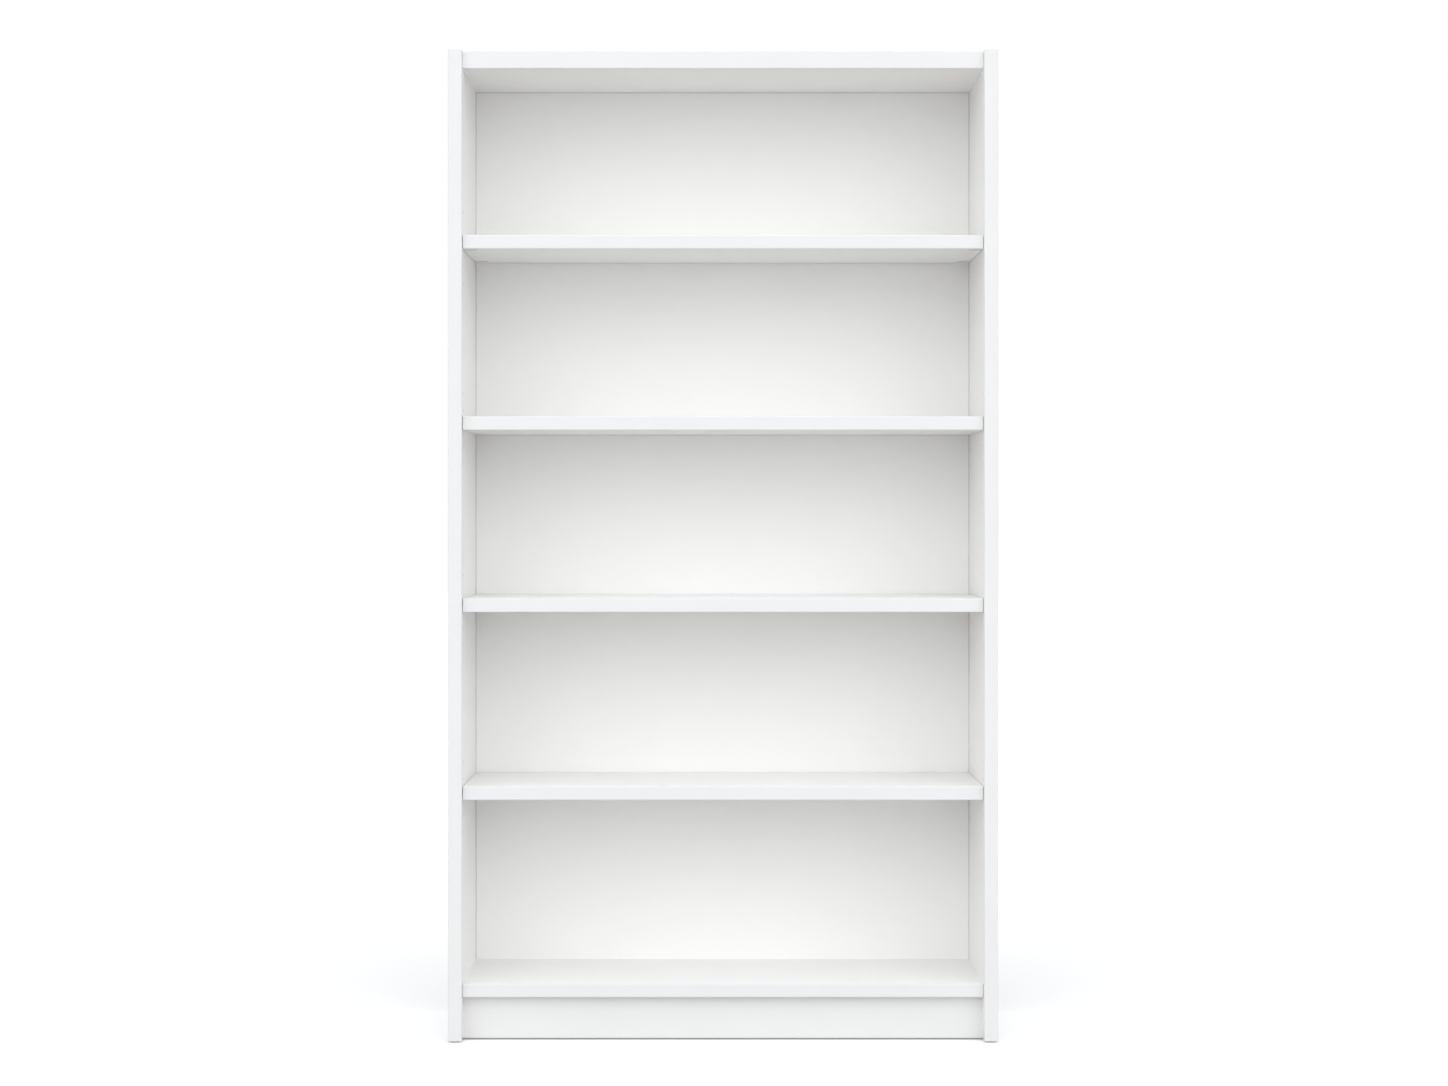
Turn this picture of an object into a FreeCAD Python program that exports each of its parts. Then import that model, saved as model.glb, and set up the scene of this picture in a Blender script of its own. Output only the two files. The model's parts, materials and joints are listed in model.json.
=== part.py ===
import FreeCAD, Part
import os

# A white bookcase: two full-height sides, a thick top and a fixed bottom shelf between them,
# a set-back plinth, a thin back sheet in grooves and four shelves that can be set higher or lower.
# Millimetres. X runs from left to right, Y from front to back and Z up.
# The origin is on the floor under the middle of the case.

# Driving dimensions of the case
case_width = 1000.0
case_depth = 300.0
case_height = 1806.0
board_thickness = 25.0
top_thickness = 32.0
plinth_thickness = 18.0
back_thickness = 3.0
shelf_setback = 12.0
plinth_setback = 32.0
bottom_shelf_underside = 81.0
shelf_undersides = (440.5, 783.0, 1115.0, 1445.5)

# Edge bands on the front edges
band_thickness = 2.0
band_rounding = 1.5
top_band_end_gap = 0.3
bottom_band_end_gap = 1.0
board_chamfer = 0.5

# Back sheet and its grooves
back_recess = 9.0
groove_depth = 8.0
groove_play = 0.1
back_end_play = 0.5
back_lower_edge = bottom_shelf_underside + 2.0

# Shelves and the pins that carry them
shelf_end_gap = 1.0
shelf_rear_gap = 1.0
pin_front_inset = 37.0
pin_column_spacing = 224.0
pin_row_pitch = 32.0
pin_rows = (-2, -1, 0, 1, 2)
pin_stem_radius = 2.5
pin_head_radius = 3.5
pin_seat_height = 2.5
pin_length_each_way = 10.0
pin_hole_depth = 12.0
pin_travel = 12.0
pin_end_chamfer = 0.4
seat_groove_depth = 6.3
seat_groove_width = 8.0

# Cam locks and their bolts
cam_radius = 7.5
cam_height = 13.4
cam_recess = 1.5
cam_hole_depth = 15.0
bolt_depth = 9.5
cam_inset = 24.0
cam_cavity_radius = 5.3
cam_eccentricity = 0.7
cam_cavity_height = 7.6
cam_slot_height = 4.6
cam_slot_margin = 30.0
cam_turn = 180.0
cam_entry_radius = 3.8
driver_slot_width = 1.6
driver_slot_length = 9.0
driver_slot_depth = 2.2
driver_hole_radius = 2.0
pointer_length = 1.8
pointer_half_width = 1.0
pointer_tip_inset = 0.7
pointer_depth = 0.4
bolt_head_radius = 3.3
bolt_head_offset = 1.0
bolt_neck_radius = 2.0
bolt_neck_length = 9.0
bolt_shank_radius = 3.5
bolt_thread_radius = 2.45
bolt_thread_length = 11.0
bolt_tip_chamfer = 0.8
bolt_bore_radius = 4.0
cap_thickness = 1.4
cap_edge_rounding = 0.4
cap_plug_radius = 1.7
cap_plug_length = 1.6
front_cam_y = -80.0
rear_cam_y = 90.0
plinth_cam_height = 30.0

# Dowels
dowel_radius = 3.95
dowel_chamfer = 1.0
dowel_hole_in_face = 12.0
dowel_hole_in_end = 20.5
dowel_end_play = 0.25
cam_to_dowel = 32.0
plinth_dowel_spacing = 300.0

# Glides, back screws and the pilot holes for a wall bracket
glide_height = 3.5
glide_radius = 10.0
glide_edge_rounding = 1.0
glide_spigot_radius = 2.45
glide_spigot_length = 10.0
glide_inset = 30.0
back_screw_count = 5
back_screw_spacing = 200.0
screw_head_radius = 3.2
screw_head_height = 1.6
screw_head_rounding = 0.9
screw_shank_radius = 1.45
screw_shank_length = 16.0
screw_recess_radius = 0.7
screw_recess_depth = 0.9
bracket_hole_radius = 1.5
bracket_hole_depth = 12.0
bracket_hole_spacing = 32.0
bracket_hole_inset = 20.0
fit_clearance = 0.05
end_clearance = 1.0

# Planes that follow from the dimensions above
half_width = case_width / 2
inner_x = half_width - board_thickness
front_y = -case_depth / 2
rear_y = case_depth / 2
shelf_front_y = front_y + shelf_setback
back_rear_y = rear_y - back_recess
back_front_y = back_rear_y - back_thickness
plinth_front_y = front_y + plinth_setback
plinth_rear_y = plinth_front_y + plinth_thickness
top_underside = case_height - top_thickness
groove_top = top_underside + groove_depth
shelf_end_x = inner_x - shelf_end_gap
cam_x = inner_x - cam_inset
pin_columns = (
    ("front", front_y + pin_front_inset),
    ("rear", front_y + pin_front_inset + pin_column_spacing),
)
pin_axis_above_underside = seat_groove_depth - pin_seat_height
seat_groove_straight = pin_length_each_way + pin_travel
sides = (("left", -1), ("right", 1))

Vector = FreeCAD.Vector
up = Vector(0, 0, 1)
down = Vector(0, 0, -1)
backward = Vector(0, 1, 0)
forward = Vector(0, -1, 0)

# Lines along X where a board's ends are joined to the sides: name, way that the cam faces, y and z
top_line = case_height - bolt_depth
bottom_line = bottom_shelf_underside + bolt_depth
plinth_line = plinth_rear_y - bolt_depth
cam_lines = (
    ("top_front", up, front_cam_y, top_line),
    ("top_rear", up, rear_cam_y, top_line),
    ("bottom_front", down, front_cam_y, bottom_line),
    ("bottom_rear", down, rear_cam_y, bottom_line),
    ("plinth", backward, plinth_line, plinth_cam_height),
)
dowel_lines = (
    ("top", front_cam_y + cam_to_dowel, top_line),
    ("top", rear_cam_y - cam_to_dowel, top_line),
    ("bottom", front_cam_y + cam_to_dowel, bottom_line),
    ("bottom", rear_cam_y - cam_to_dowel, bottom_line),
    ("plinth", plinth_line, plinth_cam_height + cam_to_dowel),
)
plinth_dowel_places = [
    Vector(n * plinth_dowel_spacing, plinth_line, bottom_shelf_underside) for n in (-1, 0, 1)
]


def block(x_limits, y_limits, z_limits):
    """A rectangular board between two planes on each axis."""
    limits = (x_limits, y_limits, z_limits)
    corner = Vector(*[min(pair) for pair in limits])
    size = [abs(high - low) for low, high in limits]
    return Part.makeBox(*size, corner)


def rod(radius, start, direction, length):
    """A round bar, or the material that a drill takes out."""
    return Part.makeCylinder(radius, length, start, direction)


def drilled(board, tools):
    """The board with every tool's space cut out of it."""
    return board.cut(tools).Solids[0]


def joined(pieces):
    """One solid from pieces that overlap or touch."""
    return pieces[0].fuse(pieces[1:]).removeSplitter().Solids[0]


def edges_between(shape, low, high):
    """The edges of a shape that lie wholly in a box."""
    region = FreeCAD.BoundBox(*low, *high)
    region.enlarge(fit_clearance)
    return [edge for edge in shape.Edges if region.isInside(edge.BoundBox)]


def placed(shape, origin, x_direction, z_direction):
    """A shape moved from its own axes to a place on the case."""
    turn = FreeCAD.Rotation(x_direction, Vector(0, 0, 0), z_direction, "ZXY")
    shape.Placement = FreeCAD.Placement(origin, turn)
    return shape


def save(name, solids):
    """Write one node: a single solid, or a group of identical ones."""
    shape = solids[0] if len(solids) == 1 else Part.makeCompound(solids)
    shape.exportStep(f"parts/{name}.step")


def pin_heights(underside, rows):
    """Heights of the pin holes that belong to one shelf, counted from the hole in use."""
    return [underside + pin_axis_above_underside + row * pin_row_pitch for row in rows]


def dowel_bore(mouth, direction, depth):
    """A hole for one half of a dowel."""
    return rod(dowel_radius + fit_clearance, mouth, direction, depth)


def cam_bores(board_name):
    """Holes for the cams and the bolts' shanks in both ends of one board."""
    bores = []
    for name, facing, y, z in cam_lines:
        if not name.startswith(board_name):
            continue
        for _, side in sides:
            bolt_middle = Vector(side * cam_x, y, z)
            mouth = bolt_middle + facing * bolt_depth
            bores.append(rod(cam_radius + fit_clearance, mouth, facing * -1, cam_hole_depth))
            bores.append(rod(bolt_bore_radius, bolt_middle, Vector(side, 0, 0), cam_inset))
    return bores


def dowel_bores(board_name):
    """Dowel holes in both ends of one board."""
    bores = []
    for name, y, z in dowel_lines:
        if name != board_name:
            continue
        for _, side in sides:
            bores.append(dowel_bore(Vector(side * inner_x, y, z), Vector(-side, 0, 0), dowel_hole_in_end))
    return bores


def side_panel(side):
    """A full-height side, grooved for the back sheet and drilled for pins, bolts, dowels and glides."""
    inner = side * inner_x
    outer = side * half_width
    board_front = front_y + band_thickness
    board = block((inner, outer), (board_front, rear_y), (glide_height, case_height))
    front_edges = edges_between(board, (-half_width, board_front, 0), (half_width, board_front, case_height))
    softened = [edge for edge in board.Edges if not any(edge.isSame(kept) for kept in front_edges)]
    board = board.makeChamfer(board_chamfer, softened)

    outward = Vector(side, 0, 0)
    groove_y = (back_front_y - groove_play, back_rear_y + groove_play)
    tools = [block((inner, inner + side * groove_depth), groove_y, (0, groove_top))]
    for underside in shelf_undersides:
        for _, y in pin_columns:
            for z in pin_heights(underside, pin_rows):
                hole_start = Vector(inner, y, z)
                tools.append(rod(pin_stem_radius + fit_clearance, hole_start, outward, pin_hole_depth))
    thread_hole_radius = bolt_thread_radius + fit_clearance
    for _, _, y, z in cam_lines:
        tools.append(rod(thread_hole_radius, Vector(inner, y, z), outward, bolt_thread_length + end_clearance))
    for _, y, z in dowel_lines:
        tools.append(dowel_bore(Vector(inner, y, z), outward, dowel_hole_in_face))
    spigot_hole_radius = glide_spigot_radius + fit_clearance
    for x, y in glide_places(side):
        mouth = Vector(x, y, glide_height)
        tools.append(rod(spigot_hole_radius, mouth, up, glide_spigot_length + end_clearance))
    return drilled(board, tools)


def side_edge_band(side):
    """The strip on a side's front edge, with both long corners rounded."""
    depth = (front_y, front_y + band_thickness)
    strip = block((side * inner_x, side * half_width), depth, (glide_height, case_height))
    front_edges = edges_between(strip, (-half_width, front_y, 0), (half_width, front_y, case_height))
    long_edges = [edge for edge in front_edges if edge.Length > board_thickness]
    return strip.makeFillet(band_rounding, long_edges)


def board_edge_band(half_length, underside, thickness):
    """The strip on the front edge of the top or of a shelf, with both long corners rounded."""
    depth = (shelf_front_y, shelf_front_y + band_thickness)
    strip = block((-half_length, half_length), depth, (underside, underside + thickness))
    low = (-half_length, shelf_front_y, underside)
    high = (half_length, shelf_front_y, underside + thickness)
    long_edges = [edge for edge in edges_between(strip, low, high) if edge.Length > thickness]
    return strip.makeFillet(band_rounding, long_edges)


def top_panel():
    """The thick top between the sides, grooved below for the back sheet, with two pilot holes on top."""
    board = block((-inner_x, inner_x), (shelf_front_y + band_thickness, rear_y), (top_underside, case_height))
    groove_y = (back_front_y - groove_play, back_rear_y + groove_play)
    tools = [block((-inner_x, inner_x), groove_y, (top_underside, groove_top))]
    tools += cam_bores("top") + dowel_bores("top")
    for side in (-1, 1):
        mouth = Vector(side * bracket_hole_spacing / 2, rear_y - bracket_hole_inset, case_height)
        tools.append(rod(bracket_hole_radius, mouth, down, bracket_hole_depth))
    return drilled(board, tools)


def bottom_shelf():
    """The fixed shelf above the plinth, with its cams drilled from below."""
    underside = bottom_shelf_underside
    depth = (shelf_front_y + band_thickness, back_front_y)
    board = block((-inner_x, inner_x), depth, (underside, underside + board_thickness))
    tools = cam_bores("bottom") + dowel_bores("bottom")
    tools += [dowel_bore(place, up, dowel_hole_in_face) for place in plinth_dowel_places]
    pilot_radius = screw_shank_radius + fit_clearance
    pilot_depth = screw_shank_length - back_thickness + end_clearance
    for x, z in back_screw_places():
        tools.append(rod(pilot_radius, Vector(x, back_front_y, z), forward, pilot_depth))
    return drilled(board, tools)


def plinth():
    """The board that closes the gap under the bottom shelf, set back from the front."""
    depth = (plinth_front_y, plinth_rear_y)
    board = block((-inner_x, inner_x), depth, (glide_height, bottom_shelf_underside))
    tools = cam_bores("plinth") + dowel_bores("plinth")
    tools += [dowel_bore(place, down, dowel_hole_in_end) for place in plinth_dowel_places]
    return drilled(board, tools)


def back_panel():
    """The thin sheet that slides up the grooves and is screwed behind the bottom shelf."""
    half_length = inner_x + groove_depth - back_end_play
    height = (back_lower_edge, groove_top - back_end_play)
    sheet = block((-half_length, half_length), (back_front_y, back_rear_y), height)
    hole_radius = screw_shank_radius + fit_clearance
    places = [Vector(x, back_front_y, z) for x, z in back_screw_places()]
    return drilled(sheet, [rod(hole_radius, place, backward, back_thickness) for place in places])


def adjustable_shelf(underside):
    """A loose shelf with a stopped groove over each pin, so that the pins don't show."""
    depth = (shelf_front_y + band_thickness, back_front_y - shelf_rear_gap)
    board = block((-shelf_end_x, shelf_end_x), depth, (underside, underside + board_thickness))
    tools = []
    half_groove = seat_groove_width / 2
    height = (underside, underside + seat_groove_depth)
    for _, side in sides:
        round_end_x = side * (shelf_end_x - seat_groove_straight)
        for _, y in pin_columns:
            tools.append(block((round_end_x, side * shelf_end_x), (y - half_groove, y + half_groove), height))
            tools.append(rod(half_groove, Vector(round_end_x, y, underside), up, seat_groove_depth))
    return drilled(board, tools)


def shelf_pin():
    """A steel pin along X: a stem in the side's hole and a thicker head with a flat seat on top."""
    stem = rod(pin_stem_radius, Vector(-pin_length_each_way, 0, 0), Vector(1, 0, 0), pin_length_each_way)
    stem_end = edges_between(stem, (-pin_length_each_way, -pin_stem_radius, -pin_stem_radius),
                             (-pin_length_each_way, pin_stem_radius, pin_stem_radius))
    stem = stem.makeChamfer(pin_end_chamfer, stem_end)
    head = rod(pin_head_radius, Vector(0, 0, 0), Vector(1, 0, 0), pin_length_each_way)
    head_end = edges_between(head, (pin_length_each_way, -pin_head_radius, -pin_head_radius),
                             (pin_length_each_way, pin_head_radius, pin_head_radius))
    head = head.makeChamfer(pin_end_chamfer, head_end)
    above_seat = block((-pin_length_each_way, pin_length_each_way), (-pin_head_radius, pin_head_radius),
                       (pin_seat_height, pin_head_radius))
    return joined([stem, head.cut(above_seat)])


def placed_pin(side, y, z):
    """A shelf pin in the hole of one side: the right-hand one is turned half round."""
    return placed(shelf_pin(), Vector(side * inner_x, y, z), Vector(-side, 0, 0), up)


def cam_lock():
    """A cam about Z with its face at z = 0 and its bolt along +X, in the locked position."""
    bolt_z = cam_recess - bolt_depth
    body = rod(cam_radius, Vector(0, 0, -cam_height), up, cam_height)
    cavity_bottom = Vector(-cam_eccentricity, 0, bolt_z - cam_cavity_height / 2)
    cavity = rod(cam_cavity_radius, cavity_bottom, up, cam_cavity_height)
    slot_bottom = Vector(0, 0, bolt_z - cam_slot_height / 2)
    slot_sweep = cam_turn + 2 * cam_slot_margin
    slot = Part.makeCylinder(cam_radius + end_clearance, cam_slot_height, slot_bottom, up, slot_sweep)
    slot.rotate(Vector(0, 0, 0), up, -cam_turn - cam_slot_margin)
    entry = rod(cam_entry_radius, Vector(0, 0, bolt_z), Vector(-1, 0, 0), cam_radius + end_clearance)
    half_slot = driver_slot_length / 2
    across = (-driver_slot_width / 2, driver_slot_width / 2)
    depth = (-driver_slot_depth, end_clearance)
    along = (-half_slot, half_slot)
    driver_slots = [block(along, across, depth), block(across, along, depth)]
    driver_hole_bottom = Vector(0, 0, -driver_slot_depth)
    driver_hole = rod(driver_hole_radius, driver_hole_bottom, up, driver_slot_depth + end_clearance)
    return drilled(body, [cavity, slot, entry, driver_hole, pointer_mark()] + driver_slots)


def pointer_mark():
    """A shallow triangle in the cam's face that points towards its bolt."""
    tip = cam_radius - pointer_tip_inset
    corners = [Vector(tip, 0, -pointer_depth),
               Vector(tip - pointer_length, pointer_half_width, -pointer_depth),
               Vector(tip - pointer_length, -pointer_half_width, -pointer_depth)]
    outline = Part.makePolygon(corners + corners[:1])
    return Part.Face(outline).extrude(up * (pointer_depth + end_clearance))


def cam_bolt():
    """A bolt along +X from the cam's axis into the side: ball head, neck, shank and threaded end."""
    bolt_z = cam_recess - bolt_depth
    head_front = bolt_head_offset - bolt_head_radius
    head_back = bolt_head_offset + (bolt_head_radius ** 2 - bolt_neck_radius ** 2) ** 0.5
    shank_start = bolt_head_offset + bolt_neck_length
    tip = cam_inset + bolt_thread_length
    steps = (
        (head_back, bolt_neck_radius),
        (shank_start, bolt_neck_radius),
        (shank_start, bolt_shank_radius),
        (cam_inset, bolt_shank_radius),
        (cam_inset, bolt_thread_radius),
        (tip - bolt_tip_chamfer, bolt_thread_radius),
        (tip, bolt_thread_radius - bolt_tip_chamfer),
        (tip, 0),
        (head_front, 0),
    )
    points = [Vector(x, radius, bolt_z) for x, radius in steps]
    head_side = Vector(bolt_head_offset, bolt_head_radius, bolt_z)
    ball = Part.Arc(points[-1], head_side, points[0]).toShape()
    outline = Part.Face(Part.Wire([ball] + Part.makePolygon(points).Edges))
    return outline.revolve(Vector(0, 0, bolt_z), Vector(1, 0, 0), 360).Solids[0]


def at_cam(shape, side, facing, y, z):
    """A cam, bolt or cap moved to one of the cam lines."""
    face_middle = Vector(side * cam_x, y, z) + facing * (bolt_depth - cam_recess)
    return placed(shape, face_middle, Vector(side, 0, 0), facing)


def cam_cap():
    """A round cover over a cam, flush with the board, with a short plug in the cam's middle."""
    lift = cam_recess - cap_thickness
    disc = rod(cam_radius, Vector(0, 0, lift), up, cap_thickness)
    rim = edges_between(disc, (-cam_radius, -cam_radius, cam_recess), (cam_radius, cam_radius, cam_recess))
    disc = disc.makeFillet(cap_edge_rounding, rim)
    plug = rod(cap_plug_radius, Vector(0, 0, -cap_plug_length), up, cap_plug_length + lift)
    return joined([disc, plug])


def dowel(face_point, into_end):
    """A wooden dowel across the joint plane, deeper in the board's end than in the other face."""
    into_face = dowel_hole_in_face - dowel_end_play
    length = into_face + dowel_hole_in_end - dowel_end_play
    peg = rod(dowel_radius, face_point - into_end * into_face, into_end, length)
    rims = [edge for edge in peg.Edges if edge.Closed]
    return peg.makeChamfer(dowel_chamfer, rims)


def dowels():
    """Every dowel: the board ends at both sides, and the plinth under the bottom shelf."""
    pegs = [dowel(place, down) for place in plinth_dowel_places]
    for _, y, z in dowel_lines:
        for _, side in sides:
            pegs.append(dowel(Vector(side * inner_x, y, z), Vector(-side, 0, 0)))
    return pegs


def glide_places(side):
    """Where a side's two glides are, as x and y."""
    x = side * (inner_x + board_thickness / 2)
    return [(x, front_y + glide_inset), (x, rear_y - glide_inset)]


def glide(x, y):
    """A plastic foot pressed into a side's bottom edge."""
    pad = rod(glide_radius, Vector(x, y, 0), up, glide_height)
    low = (x - glide_radius, y - glide_radius, 0)
    high = (x + glide_radius, y + glide_radius, 0)
    pad = pad.makeFillet(glide_edge_rounding, edges_between(pad, low, high))
    spigot = rod(glide_spigot_radius, Vector(x, y, glide_height), up, glide_spigot_length)
    return joined([pad, spigot])


def back_screw_places():
    """Where the back screws go, as x and z, in a row along the bottom shelf's rear edge."""
    first = -(back_screw_count - 1) / 2
    z = bottom_shelf_underside + board_thickness / 2
    return [((first + n) * back_screw_spacing, z) for n in range(back_screw_count)]


def back_screw(x, z):
    """A small round-headed screw through the back sheet, with a driver recess."""
    head = rod(screw_head_radius, Vector(x, back_rear_y, z), backward, screw_head_height)
    top_y = back_rear_y + screw_head_height
    rim = edges_between(head, (x - screw_head_radius, top_y, z - screw_head_radius),
                        (x + screw_head_radius, top_y, z + screw_head_radius))
    head = head.makeFillet(screw_head_rounding, rim)
    shank = rod(screw_shank_radius, Vector(x, back_rear_y, z), forward, screw_shank_length)
    half_cross = screw_head_radius / 2
    recess_y = (top_y - screw_recess_depth, top_y)
    half_recess = screw_recess_radius / 2
    cross = [block((x - half_cross, x + half_cross), recess_y, (z - half_recess, z + half_recess)),
             block((x - half_recess, x + half_recess), recess_y, (z - half_cross, z + half_cross))]
    return drilled(joined([head, shank]), cross)


def write_case():
    """The fixed boards, their edge bands and the small parts that hold them together."""
    for side_name, side in sides:
        save(f"{side_name}_side_panel", [side_panel(side)])
        save(f"{side_name}_side_edge_band", [side_edge_band(side)])
    save("top_panel", [top_panel()])
    save("top_panel_edge_band", [board_edge_band(inner_x - top_band_end_gap, top_underside, top_thickness)])
    save("bottom_shelf", [bottom_shelf()])
    bottom_band = board_edge_band(inner_x - bottom_band_end_gap, bottom_shelf_underside, board_thickness)
    save("bottom_shelf_edge_band", [bottom_band])
    save("plinth_board", [plinth()])
    save("back_panel", [back_panel()])
    save("wooden_dowels", dowels())
    save("floor_glides", [glide(x, y) for _, side in sides for x, y in glide_places(side)])
    save("back_panel_screws", [back_screw(x, z) for x, z in back_screw_places()])


def write_shelves():
    """Each adjustable shelf, its edge band and its four pins, numbered from the lowest shelf."""
    for number, underside in enumerate(shelf_undersides, 1):
        save(f"adjustable_shelf_{number}", [adjustable_shelf(underside)])
        band = board_edge_band(shelf_end_x, underside, board_thickness)
        save(f"adjustable_shelf_{number}_edge_band", [band])
        pin_z = pin_heights(underside, [0])[0]
        for side_name, side in sides:
            for column_name, y in pin_columns:
                save(f"shelf_{number}_pin_{column_name}_{side_name}", [placed_pin(side, y, pin_z)])


def write_cams():
    """The cam locks, the caps over those in the top, and all the bolts."""
    bolts = []
    for name, facing, y, z in cam_lines:
        for side_name, side in sides:
            place = (side, facing, y, z)
            save(f"cam_lock_{name}_{side_name}", [at_cam(cam_lock(), *place)])
            bolts.append(at_cam(cam_bolt(), *place))
            if name.startswith("top"):
                save(f"cam_cap_{name}_{side_name}", [at_cam(cam_cap(), *place)])
    save("cam_bolts", bolts)


os.makedirs("parts", exist_ok=True)
write_case()
write_shelves()
write_cams()
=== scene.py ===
import json
import math

import bmesh
import bpy
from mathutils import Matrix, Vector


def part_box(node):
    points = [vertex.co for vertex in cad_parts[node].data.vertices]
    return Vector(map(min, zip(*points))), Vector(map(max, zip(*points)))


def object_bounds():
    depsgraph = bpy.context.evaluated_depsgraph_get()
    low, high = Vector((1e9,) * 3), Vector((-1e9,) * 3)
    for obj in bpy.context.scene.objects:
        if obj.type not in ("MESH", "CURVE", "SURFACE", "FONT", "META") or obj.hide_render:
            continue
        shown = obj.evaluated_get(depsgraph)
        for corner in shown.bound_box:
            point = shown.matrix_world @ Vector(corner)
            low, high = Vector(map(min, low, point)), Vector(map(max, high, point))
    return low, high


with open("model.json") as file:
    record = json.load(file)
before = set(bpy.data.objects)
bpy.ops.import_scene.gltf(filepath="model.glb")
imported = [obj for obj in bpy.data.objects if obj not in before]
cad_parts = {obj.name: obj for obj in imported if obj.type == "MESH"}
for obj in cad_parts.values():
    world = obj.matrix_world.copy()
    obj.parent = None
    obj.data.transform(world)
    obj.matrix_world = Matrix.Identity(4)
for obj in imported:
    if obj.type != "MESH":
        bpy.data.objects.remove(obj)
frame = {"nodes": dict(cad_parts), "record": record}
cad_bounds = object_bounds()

# The looks of the white bookcase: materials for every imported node, a studio and a camera.
# Everything is in metres and in the CAD model's frame: X to the right, Y to the back, Z up.

MM = 0.001
AXES = {"x": 0, "y": 1, "z": 2}
nodes = frame["nodes"]
slot_of = {part["node"]: part["material_slot"] for part in frame["record"]["subparts"]}

# Colours
FACE_WHITE = (0.934, 0.926, 0.912)
# Painted shade: the plinth's white is darker than the faces' white, standing in for the shade it sits in
# under the bottom shelf
PLINTH_SHADED_WHITE = (0.858, 0.851, 0.840)
# Painted shade: the edge band's white is darker than the faces' white, so the front edges read darker than
# the interior
BAND_SHADED_WHITE = (0.828, 0.822, 0.815)
SHEET_WHITE = (0.936, 0.928, 0.914)
CAP_WHITE = (0.880, 0.878, 0.872)
GLUE = (0.640, 0.590, 0.500)
CHIP_PALE = (0.640, 0.470, 0.290)
CHIP_DARK = (0.300, 0.185, 0.095)
FIBRE_PALE = (0.330, 0.205, 0.115)
FIBRE_DARK = (0.190, 0.110, 0.058)
BEECH_PALE = (0.700, 0.500, 0.310)
BEECH_DARK = (0.530, 0.340, 0.190)
NICKEL = (0.660, 0.640, 0.600)
ZINC_CAST = (0.500, 0.510, 0.520)
ZINC_PLATE = (0.640, 0.645, 0.640)
GREY_PLASTIC = (0.330, 0.335, 0.345)

# How deep the boards' white skin, their edge tape and the back sheet's foil reach
SKIN_DEPTH = 0.30 * MM
TAPE_DEPTH = 0.6 * MM
FOIL_DEPTH = 0.2 * MM

# The painted shade line starts and is at its fullest this far from the boards round the back sheet
SHADE_LINE_START = 2.6 * MM
SHADE_LINE_FULL = 0.6 * MM

# Dowels further than this from the middle lie along X
END_DOWELS_FROM = 0.4


# Shader building

def add_node(tree, kind, inputs=None, **settings):
    """A shader node with its settings made and its inputs set, or linked where the value is a socket."""
    made = tree.nodes.new(kind)
    for name, value in settings.items():
        setattr(made, name, value)
    for name, value in (inputs or {}).items():
        if isinstance(value, bpy.types.NodeSocket):
            tree.links.new(value, made.inputs[name])
        else:
            made.inputs[name].default_value = value
    return made


def calculate(tree, operation, first, second=0.0, clamp=False):
    """One step of arithmetic on numbers or sockets."""
    made = add_node(tree, "ShaderNodeMath", {0: first, 1: second}, operation=operation, use_clamp=clamp)
    return made.outputs[0]


def position(tree):
    """Where a point is on its node at rest, in metres."""
    return add_node(tree, "ShaderNodeTexCoord").outputs["Object"]


def along_axes(tree, where):
    """The x, y and z of a position."""
    return add_node(tree, "ShaderNodeSeparateXYZ", {0: where}).outputs


def scaled(tree, where, size, stretch):
    """A position measured in features of this size in metres, longer along an axis with a larger factor."""
    factors = [1 / (size * factor) for factor in stretch]
    return add_node(tree, "ShaderNodeVectorMath", {0: where, 1: factors}, operation="MULTIPLY").outputs[0]


def noise(tree, where, size, detail=2.0, roughness=0.5, stretch=(1, 1, 1), bend=0.0):
    """Soft noise with features of about this size in metres, bent out of line by a distortion."""
    inputs = {"Vector": scaled(tree, where, size, stretch), "Scale": 1.0, "Detail": detail,
              "Roughness": roughness, "Distortion": bend}
    return add_node(tree, "ShaderNodeTexNoise", inputs).outputs["Fac"]


def cells(tree, where, size, stretch):
    """Chips of about this size in metres: a random number for each, and the distance from its middle."""
    inputs = {"Vector": scaled(tree, where, size, stretch), "Scale": 1.0}
    chips = add_node(tree, "ShaderNodeTexVoronoi", inputs)
    number = add_node(tree, "ShaderNodeSeparateColor", {0: chips.outputs["Color"]}).outputs[0]
    return number, chips.outputs["Distance"]


def spread(tree, value, low, high, source=(0.3, 0.7)):
    """A value mapped from its usual range to another one, and held there."""
    # Inputs 1 and 2 are the range it comes from, and 3 and 4 the range it goes to.
    inputs = {0: value, 1: source[0], 2: source[1], 3: low, 4: high}
    return add_node(tree, "ShaderNodeMapRange", inputs).outputs[0]


def colour_value(colour, factor=1.0):
    """A colour with its alpha, made darker or lighter."""
    return tuple(channel * factor for channel in colour) + (1.0,)


def mix_colours(tree, share, first, second):
    """One colour to another by a share from 0 to 1."""
    # The colours of a mix node are its inputs 6 and 7, and its output 2.
    inputs = {0: share, 6: first, 7: second}
    return add_node(tree, "ShaderNodeMix", inputs, data_type="RGBA").outputs[2]


def mix_numbers(tree, share, first, second):
    """One number to another by a share from 0 to 1."""
    # The numbers of a mix node are its inputs 2 and 3, and its output 0.
    return add_node(tree, "ShaderNodeMix", {0: share, 2: first, 3: second}).outputs[0]


def bumps(tree, *layers):
    """A normal from heights laid over each other, each a socket and its real height in metres."""
    normal = None
    for height, distance in layers:
        inputs = {"Height": height, "Strength": 1.0, "Distance": distance}
        if normal is not None:
            inputs["Normal"] = normal
        normal = add_node(tree, "ShaderNodeBump", inputs).outputs[0]
    return normal


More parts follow.
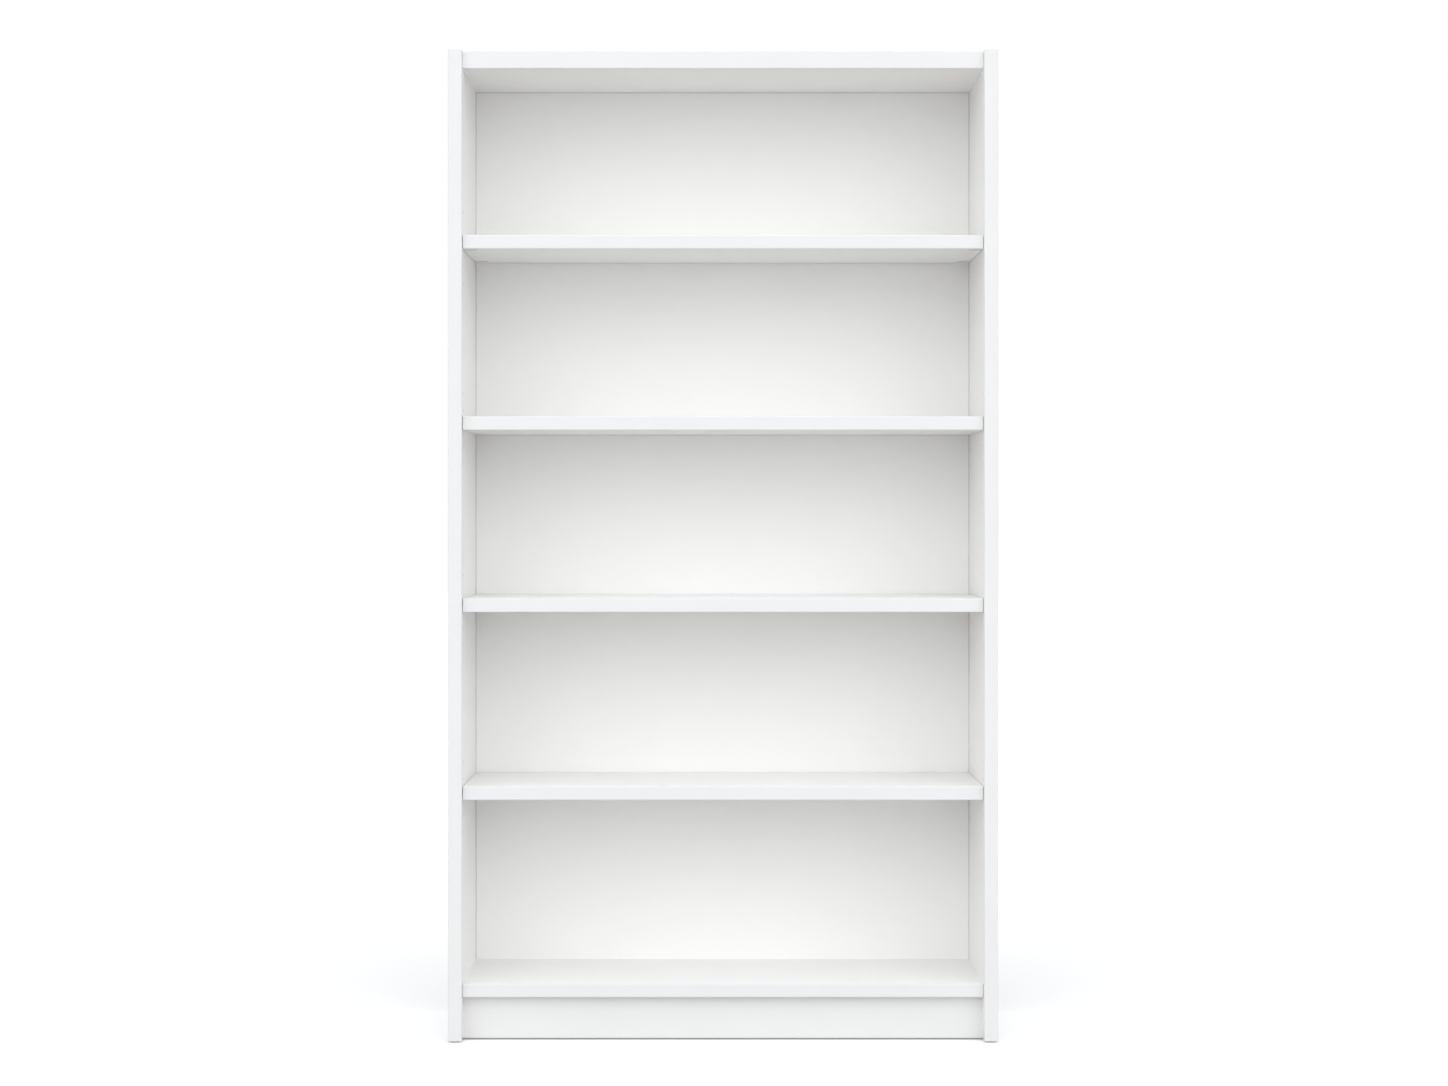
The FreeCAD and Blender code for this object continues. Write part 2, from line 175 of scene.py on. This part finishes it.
def new_material(name):
    """An empty material, its tree and its Principled shader."""
    material = bpy.data.materials.new(name)
    material.use_nodes = True
    tree = material.node_tree
    return material, tree, tree.nodes["Principled BSDF"]


def link_all(tree, shader, **sockets):
    """Links sockets to the shader's inputs by name, with underscores for spaces."""
    for name, socket in sockets.items():
        tree.links.new(socket, shader.inputs[name.replace("_", " ")])


# Where a point lies in its node's box

def depths(tree, where, node_name):
    """How deep a point lies inside its node's box along each axis, from the nearer face."""
    low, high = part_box(node_name)
    values = []
    for axis, coordinate in enumerate(along_axes(tree, where)):
        from_low = calculate(tree, "SUBTRACT", coordinate, low[axis])
        from_high = calculate(tree, "SUBTRACT", high[axis], coordinate)
        values.append(calculate(tree, "MINIMUM", from_low, from_high))
    return values


def near_face(tree, where, node_name, face, reach):
    """1 within reach of one face of the node's box, named such as high_z, and 0 deeper in."""
    side, letter = face.split("_")
    axis = AXES[letter]
    low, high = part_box(node_name)
    plane = high[axis] if side == "high" else low[axis]
    gap = calculate(tree, "ABSOLUTE", calculate(tree, "SUBTRACT", along_axes(tree, where)[axis], plane))
    return spread(tree, gap, 1.0, 0.0, (reach, reach * 1.15))


def middle_of_three(tree, values):
    """The middle one of three numbers: a point's distance from its box's nearest edge."""
    first, second, third = values
    smaller = calculate(tree, "MINIMUM", first, second)
    larger = calculate(tree, "MAXIMUM", first, second)
    return calculate(tree, "MAXIMUM", smaller, calculate(tree, "MINIMUM", larger, third))


def edge_wear(tree, where, inside, reach, spot_size):
    """1 in small rubbed spots along the edges of the node's box, and 0 elsewhere."""
    closeness = spread(tree, middle_of_three(tree, inside), 1.0, 0.0, (0.2 * reach, reach))
    spots = spread(tree, noise(tree, where, spot_size, 4, 0.6), 0.0, 1.0, (0.58, 0.66))
    return calculate(tree, "MULTIPLY", closeness, spots)


def thinnest_axis(node_name):
    """The axis along which the node's box is thinnest."""
    low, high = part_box(node_name)
    lengths = [high[axis] - low[axis] for axis in range(3)]
    return lengths.index(min(lengths))


# Boards, bands and sheet

def bare_particleboard(tree, where, thin):
    """The colour, height and roughness of cut particleboard, whose chips lie flat in the board."""
    flat = [1, 1, 1]
    flat[thin] = 0.35
    number, middle = cells(tree, where, 2.2 * MM, flat)
    fine_number, fine_middle = cells(tree, where, 0.8 * MM, flat)
    tone = calculate(tree, "ADD", calculate(tree, "MULTIPLY", number, 0.6),
                     calculate(tree, "MULTIPLY", fine_number, 0.4))
    colour = mix_colours(tree, tone, colour_value(CHIP_DARK), colour_value(CHIP_PALE))
    gaps = spread(tree, fine_middle, 0.0, 1.0, (0.45, 0.75))
    gap_share = calculate(tree, "MULTIPLY", gaps, 0.55)
    colour = mix_colours(tree, gap_share, colour, colour_value(CHIP_DARK, 0.5))
    return colour, calculate(tree, "SUBTRACT", tone, gaps), spread(tree, middle, 0.82, 0.95, (0.0, 0.8))


def board_material(node_name, white, taped):
    """White melamine on both faces and on the taped edges, and bare particleboard in cuts and holes."""
    material, tree, shader = new_material(node_name)
    where = position(tree)
    inside = depths(tree, where, node_name)
    thin = thinnest_axis(node_name)
    skin = spread(tree, inside[thin], 1.0, 0.0, (SKIN_DEPTH, 1.2 * SKIN_DEPTH))
    for face in taped:
        skin = calculate(tree, "MAXIMUM", skin, near_face(tree, where, node_name, face, TAPE_DEPTH))
    mottle = spread(tree, noise(tree, where, 180 * MM, 4, 0.55), 0.0, 1.0)
    worn = edge_wear(tree, where, inside, 1.6 * MM, 9 * MM)
    face_colour = mix_colours(tree, mottle, colour_value(white, 0.988), colour_value(white, 1.004))
    rubbed = calculate(tree, "MULTIPLY", worn, 0.35)
    face_colour = mix_colours(tree, rubbed, face_colour, colour_value(white, 0.80))
    smears = spread(tree, noise(tree, where, 60 * MM, 5, 0.65, (1.0, 1.0, 2.5)), 0.37, 0.46)
    face_rough = calculate(tree, "ADD", smears, calculate(tree, "MULTIPLY", worn, 0.2))
    chip_colour, chip_height, chip_rough = bare_particleboard(tree, where, thin)
    peel = calculate(tree, "MULTIPLY", noise(tree, where, 1.1 * MM, 2), skin)
    waves = noise(tree, where, 55 * MM, 1)
    chips = calculate(tree, "MULTIPLY", chip_height, calculate(tree, "SUBTRACT", 1.0, skin))
    dents = calculate(tree, "MULTIPLY", worn, -1.0)
    link_all(tree, shader,
             Base_Color=mix_colours(tree, skin, chip_colour, face_colour),
             Roughness=mix_numbers(tree, skin, chip_rough, face_rough),
             Normal=bumps(tree, (waves, 0.05 * MM), (peel, 0.022 * MM), (chips, 0.12 * MM),
                          (dents, 0.06 * MM)))
    return material


def band_material(node_name):
    """A satin plastic edge band: fine scraper lines along it, rubbed corners and a glue line behind."""
    material, tree, shader = new_material(node_name)
    where = position(tree)
    inside = depths(tree, where, node_name)
    low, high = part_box(node_name)
    lengths = [high[axis] - low[axis] for axis in range(3)]
    along = [1, 1, 1]
    along[lengths.index(max(lengths))] = 90
    lines = noise(tree, where, 0.30 * MM, 3, 0.6, along)
    worn = edge_wear(tree, where, inside, 2.4 * MM, 7 * MM)
    glue = near_face(tree, where, node_name, "high_y", 0.11 * MM)
    mottle = spread(tree, noise(tree, where, 90 * MM, 3), 0.0, 1.0)
    # Painted shade: the band's tones come from the darker white of the front edges
    colour = mix_colours(tree, mottle, colour_value(BAND_SHADED_WHITE, 0.990), colour_value(BAND_SHADED_WHITE, 1.006))
    rubbed = calculate(tree, "MULTIPLY", worn, 0.3)
    colour = mix_colours(tree, rubbed, colour, colour_value(BAND_SHADED_WHITE, 0.78))
    colour = mix_colours(tree, calculate(tree, "MULTIPLY", glue, 0.8), colour, colour_value(GLUE))
    buffed = spread(tree, middle_of_three(tree, inside), -0.07, 0.0, (0.0, 1.5 * MM))
    rough = calculate(tree, "ADD", spread(tree, lines, 0.31, 0.40), buffed)
    link_all(tree, shader,
             Base_Color=colour,
             Roughness=calculate(tree, "ADD", rough, calculate(tree, "MULTIPLY", worn, 0.2)),
             Normal=bumps(tree, (lines, 0.004 * MM), (noise(tree, where, 1.6 * MM, 2), 0.018 * MM),
                          (calculate(tree, "MULTIPLY", worn, -1.0), 0.05 * MM)))
    return material


def painted_seam_shade(tree, where):
    """Painted shade: a thin darker line on the back sheet where it enters the sides' grooves and meets the
    top.
    """
    low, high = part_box("top_panel")
    across, _, height = along_axes(tree, where)
    from_middle = calculate(tree, "ABSOLUTE", across)
    beside = spread(tree, from_middle, 0.0, 1.0, (high.x - SHADE_LINE_START, high.x - SHADE_LINE_FULL))
    above = spread(tree, height, 0.0, 1.0, (low.z - SHADE_LINE_START, low.z - SHADE_LINE_FULL))
    line = calculate(tree, "MAXIMUM", beside, above)
    uneven = spread(tree, noise(tree, where, 40 * MM, 3), 0.55, 0.85)
    return calculate(tree, "MULTIPLY", line, uneven)


def sheet_material(node_name):
    """Thin fibreboard: white foil in front, bare brown fibre on the cut edges and behind."""
    material, tree, shader = new_material(node_name)
    where = position(tree)
    foil = near_face(tree, where, node_name, "low_y", FOIL_DEPTH)
    mottle = spread(tree, noise(tree, where, 220 * MM, 4, 0.55), 0.0, 1.0)
    pale = colour_value(SHEET_WHITE, 1.003)
    foil_colour = mix_colours(tree, mottle, colour_value(SHEET_WHITE, 0.990), pale)
    # Painted shade: the foil is darkened along its seams with the side panels and the top
    foil_colour = mix_colours(tree, painted_seam_shade(tree, where), foil_colour, colour_value(SHEET_WHITE, 0.62))
    lying = noise(tree, where, 0.6 * MM, 3, 0.65, (5, 1, 1.5), 2.5)
    standing = noise(tree, where, 0.6 * MM, 3, 0.65, (1.5, 1, 5), 2.5)
    fibres = calculate(tree, "MAXIMUM", lying, standing)
    cloud = spread(tree, noise(tree, where, 70 * MM, 5, 0.6), -0.2, 0.2)
    tone = calculate(tree, "ADD", spread(tree, fibres, 0.0, 1.0, (0.42, 0.68)), cloud, clamp=True)
    fibre_colour = mix_colours(tree, tone, colour_value(FIBRE_DARK), colour_value(FIBRE_PALE))
    bare = calculate(tree, "SUBTRACT", 1.0, foil)
    link_all(tree, shader,
             Base_Color=mix_colours(tree, foil, fibre_colour, foil_colour),
             Roughness=mix_numbers(tree, foil, spread(tree, fibres, 0.85, 0.68),
                                   spread(tree, noise(tree, where, 5 * MM, 4), 0.44, 0.52)),
             Normal=bumps(tree, (noise(tree, where, 320 * MM, 1), 0.5 * MM),
                          (calculate(tree, "MULTIPLY", noise(tree, where, 1.3 * MM, 2), foil), 0.020 * MM),
                          (calculate(tree, "MULTIPLY", fibres, bare), 0.05 * MM)))
    return material


# Hardware

def beech_material():
    """Turned beech: grain along each dowel, along X at the board ends and upright in the plinth."""
    material, tree, shader = new_material("beech")
    where = position(tree)
    across = noise(tree, where, 0.35 * MM, 4, 0.6, (30, 1, 1))
    upright = noise(tree, where, 0.35 * MM, 4, 0.6, (1, 1, 30))
    from_middle = calculate(tree, "ABSOLUTE", along_axes(tree, where)[0])
    at_ends = calculate(tree, "GREATER_THAN", from_middle, END_DOWELS_FROM)
    grain = mix_numbers(tree, at_ends, upright, across)
    flecks = spread(tree, noise(tree, where, 0.9 * MM, 2, 0.5, (3, 1, 3)), 0.0, 0.5, (0.60, 0.72))
    tone = spread(tree, grain, 0.0, 1.0)
    colour = mix_colours(tree, tone, colour_value(BEECH_DARK), colour_value(BEECH_PALE))
    link_all(tree, shader,
             Base_Color=mix_colours(tree, flecks, colour, colour_value(BEECH_DARK, 0.8)),
             Roughness=spread(tree, grain, 0.72, 0.58),
             Normal=bumps(tree, (grain, 0.05 * MM)))
    return material


def metal_material(name, colour, rough, grain_size, grain_height, stretch=(1, 1, 1)):
    """A plated, turned or cast metal with fine grain, slight stains and scratches."""
    material, tree, shader = new_material(name)
    shader.inputs["Metallic"].default_value = 1.0
    where = position(tree)
    grain = noise(tree, where, grain_size, 3, 0.6, stretch)
    stains = spread(tree, noise(tree, where, 3 * MM, 4, 0.6), 0.0, 1.0)
    scratches = spread(tree, noise(tree, where, 0.35 * MM, 2, 0.5, (1, 9, 9)), 0.0, 1.0, (0.62, 0.68))
    tone = mix_colours(tree, stains, colour_value(colour, 0.85), colour_value(colour, 1.05))
    dull = calculate(tree, "ADD", spread(tree, grain, rough - 0.06, rough + 0.08),
                     spread(tree, stains, 0.05, -0.02, (0.0, 1.0)))
    scratched = calculate(tree, "MULTIPLY", scratches, 0.3)
    link_all(tree, shader,
             Base_Color=mix_colours(tree, scratched, tone, colour_value(colour, 1.2)),
             Roughness=calculate(tree, "ADD", dull, calculate(tree, "MULTIPLY", scratches, 0.10)),
             Normal=bumps(tree, (grain, grain_height), (scratches, -0.006 * MM)))
    return material


def moulded_material(name, colour, rough, grain_height, scuffed_below=None):
    """Moulded plastic with fine grain, flow marks, and scuffs below a height if one is given."""
    material, tree, shader = new_material(name)
    where = position(tree)
    grain = noise(tree, where, 0.22 * MM, 2, 0.6)
    flow = spread(tree, noise(tree, where, 6 * MM, 3, 0.5, (1, 2, 1)), 0.0, 1.0)
    scuffs = spread(tree, noise(tree, where, 0.6 * MM, 4, 0.7, (6, 1, 1)), 0.0, 1.0, (0.52, 0.64))
    strength = 0.15
    if scuffed_below is not None:
        strength = spread(tree, along_axes(tree, where)[2], 0.8, 0.1, (0.0, scuffed_below))
    scuffs = calculate(tree, "MULTIPLY", scuffs, strength)
    tone = mix_colours(tree, flow, colour_value(colour, 0.96), colour_value(colour, 1.01))
    link_all(tree, shader,
             Base_Color=mix_colours(tree, scuffs, tone, colour_value(colour, 0.82)),
             Roughness=calculate(tree, "ADD", spread(tree, grain, rough - 0.04, rough + 0.05),
                                 calculate(tree, "MULTIPLY", scuffs, 0.2)),
             Normal=bumps(tree, (grain, grain_height), (scuffs, -0.02 * MM)))
    return material


# Every node gets its finish

SIDE_TAPE = ("high_z", "low_z")
PLINTH_TAPE = ("low_z",)
SHELF_TAPE = ("low_x", "high_x")
shared_finishes = {
    "beech": beech_material(),
    "pin_steel": metal_material("pin_nickel", NICKEL, rough=0.27, grain_size=0.06 * MM,
                                grain_height=0.003 * MM, stretch=(1, 400, 400)),
    "cam_zinc": metal_material("cam_zinc", ZINC_CAST, rough=0.46, grain_size=0.25 * MM,
                               grain_height=0.020 * MM),
    "bolt_steel": metal_material("bolt_zinc", ZINC_PLATE, rough=0.33, grain_size=0.08 * MM,
                                 grain_height=0.004 * MM, stretch=(1, 300, 300)),
    "screw_steel": metal_material("screw_zinc", ZINC_PLATE, rough=0.30, grain_size=0.10 * MM,
                                  grain_height=0.004 * MM),
    "glide_plastic": moulded_material("glide_plastic", GREY_PLASTIC, rough=0.48,
                                      grain_height=0.012 * MM, scuffed_below=3 * MM),
    "cap_plastic": moulded_material("cap_plastic", CAP_WHITE, rough=0.36, grain_height=0.010 * MM),
}


def finish_for(node_name):
    """The finished material of one node."""
    slot = slot_of[node_name]
    if slot in shared_finishes:
        return shared_finishes[slot]
    if slot == "white_edge_band":
        return band_material(node_name)
    if slot == "back_sheet":
        return sheet_material(node_name)
    if node_name == "plinth_board":
        # Painted shade: the plinth gets a darker copy of the boards' white
        return board_material(node_name, PLINTH_SHADED_WHITE, PLINTH_TAPE)
    if node_name.endswith("side_panel"):
        return board_material(node_name, FACE_WHITE, SIDE_TAPE)
    return board_material(node_name, FACE_WHITE, SHELF_TAPE)


for node_name, node in nodes.items():
    node.data.materials.clear()
    node.data.materials.append(finish_for(node_name))


# Studio

FLOOR_TONE = 0.86
FLOOR_GLOW = 0.18
BOUNCE_TONE = 0.52
LIGHT_COLOUR = (0.980, 0.995, 1.013, 1)
BEHIND_LIGHT = 0.19
FRONT_LIGHT = 0.84
CORNER_LIGHT = 2.05
OVERHEAD_LIGHT = 0.97
KEY_LIGHT = 0.29
KEY_SHARPNESS = 6.0
FLOOR_HALF = 30.0
DOME_RADIUS = 29.0
GREY_FLOOR_HEIGHT = -2 * MM


def flat_square(name, half, height):
    """A level square around the origin, marked as part of the studio."""
    corners = [(x * half, y * half, height) for x, y in ((-1, -1), (1, -1), (1, 1), (-1, 1))]
    mesh = bpy.data.meshes.new(name)
    mesh.from_pydata(corners, [], [(0, 1, 2, 3)])
    square = bpy.data.objects.new(name, mesh)
    bpy.context.scene.collection.objects.link(square)
    return square


def plain_paint(name, tone, glow=0.0):
    """A matt paint of one tone for the studio, with its own light if it glows."""
    material, tree, shader = new_material(name)
    shader.inputs["Base Color"].default_value = (tone, tone, tone, 1)
    shader.inputs["Roughness"].default_value = 0.9
    shader.inputs["Specular IOR Level"].default_value = 0.0
    shader.inputs["Emission Color"].default_value = (1, 1, 1, 1)
    shader.inputs["Emission Strength"].default_value = glow
    return material


def seen_only_by_camera(stage_piece):
    """Takes a piece of the studio out of the lighting."""
    stage_piece.visible_diffuse = False
    stage_piece.visible_glossy = False
    stage_piece.visible_transmission = False
    stage_piece.visible_shadow = False


def studio_floor():
    """A pale floor that the camera sees, and a greyer one just under it that throws the light back."""
    pale = flat_square("pale_floor", FLOOR_HALF, 0.0)
    pale.data.materials.append(plain_paint("pale_floor", FLOOR_TONE, FLOOR_GLOW))
    seen_only_by_camera(pale)
    grey = flat_square("grey_floor", FLOOR_HALF, GREY_FLOOR_HEIGHT)
    grey.data.materials.append(plain_paint("grey_floor", BOUNCE_TONE))
    grey.visible_camera = False


def studio_backdrop():
    """A white dome that the camera sees round the floor."""
    mesh = bpy.data.meshes.new("backdrop")
    shell = bmesh.new()
    bmesh.ops.create_icosphere(shell, subdivisions=4, radius=DOME_RADIUS)
    shell.to_mesh(mesh)
    shell.free()
    dome = bpy.data.objects.new("backdrop", mesh)
    bpy.context.scene.collection.objects.link(dome)
    mesh.materials.append(plain_paint("backdrop", 0.0, 1.0))
    seen_only_by_camera(dome)


def studio_world():
    """Soft light from above, in front and the front corners, and little from behind."""
    world = bpy.data.worlds.new("studio")
    bpy.context.scene.world = world
    world.use_nodes = True
    tree = world.node_tree
    background = tree.nodes["Background"]
    direction = add_node(tree, "ShaderNodeTexCoord").outputs["Generated"]
    across, inward, height = along_axes(tree, direction)
    side = calculate(tree, "ABSOLUTE", across)
    ahead = calculate(tree, "MAXIMUM", calculate(tree, "MULTIPLY", inward, -1.0), 0.0)
    high = calculate(tree, "MAXIMUM", height, 0.0)
    forward_up = calculate(tree, "MAXIMUM", calculate(tree, "SUBTRACT", height, inward), 0.0)
    towards_key = calculate(tree, "MULTIPLY", forward_up, math.sqrt(0.5))
    key = calculate(tree, "POWER", towards_key, KEY_SHARPNESS)
    glows = (
        (BEHIND_LIGHT, spread(tree, inward, 0.0, 1.0, (-0.1, 0.3))),
        (FRONT_LIGHT, ahead),
        (CORNER_LIGHT, calculate(tree, "MULTIPLY", side, ahead)),
        (OVERHEAD_LIGHT, high),
        (KEY_LIGHT, key),
    )
    strength = 0.0
    for power, glow in glows:
        strength = calculate(tree, "ADD", calculate(tree, "MULTIPLY", glow, power), strength)
    background.inputs["Color"].default_value = LIGHT_COLOUR
    tree.links.new(strength, background.inputs["Strength"])


CAMERA_LENS = 66.95
CAMERA_SENSOR = 36.0
CAMERA_SHIFT = (0.0062, -0.0155)
CAMERA_SIDEWAYS = -0.0145
CAMERA_DISTANCE = 4.895
CAMERA_HEIGHT = 0.950


def camera():
    """A level camera in front of the case, a little left of its middle."""
    front = cad_bounds[0][1]
    data = bpy.data.cameras.new("camera")
    data.lens = CAMERA_LENS
    data.sensor_width = CAMERA_SENSOR
    data.shift_x, data.shift_y = CAMERA_SHIFT
    view = bpy.data.objects.new("camera", data)
    view.location = (CAMERA_SIDEWAYS, front - CAMERA_DISTANCE, CAMERA_HEIGHT)
    view.rotation_euler = (math.radians(90), 0, 0)
    bpy.context.scene.collection.objects.link(view)
    bpy.context.scene.camera = view


camera()
studio_floor()
studio_backdrop()
studio_world()
bpy.context.scene.view_settings.view_transform = "Standard"
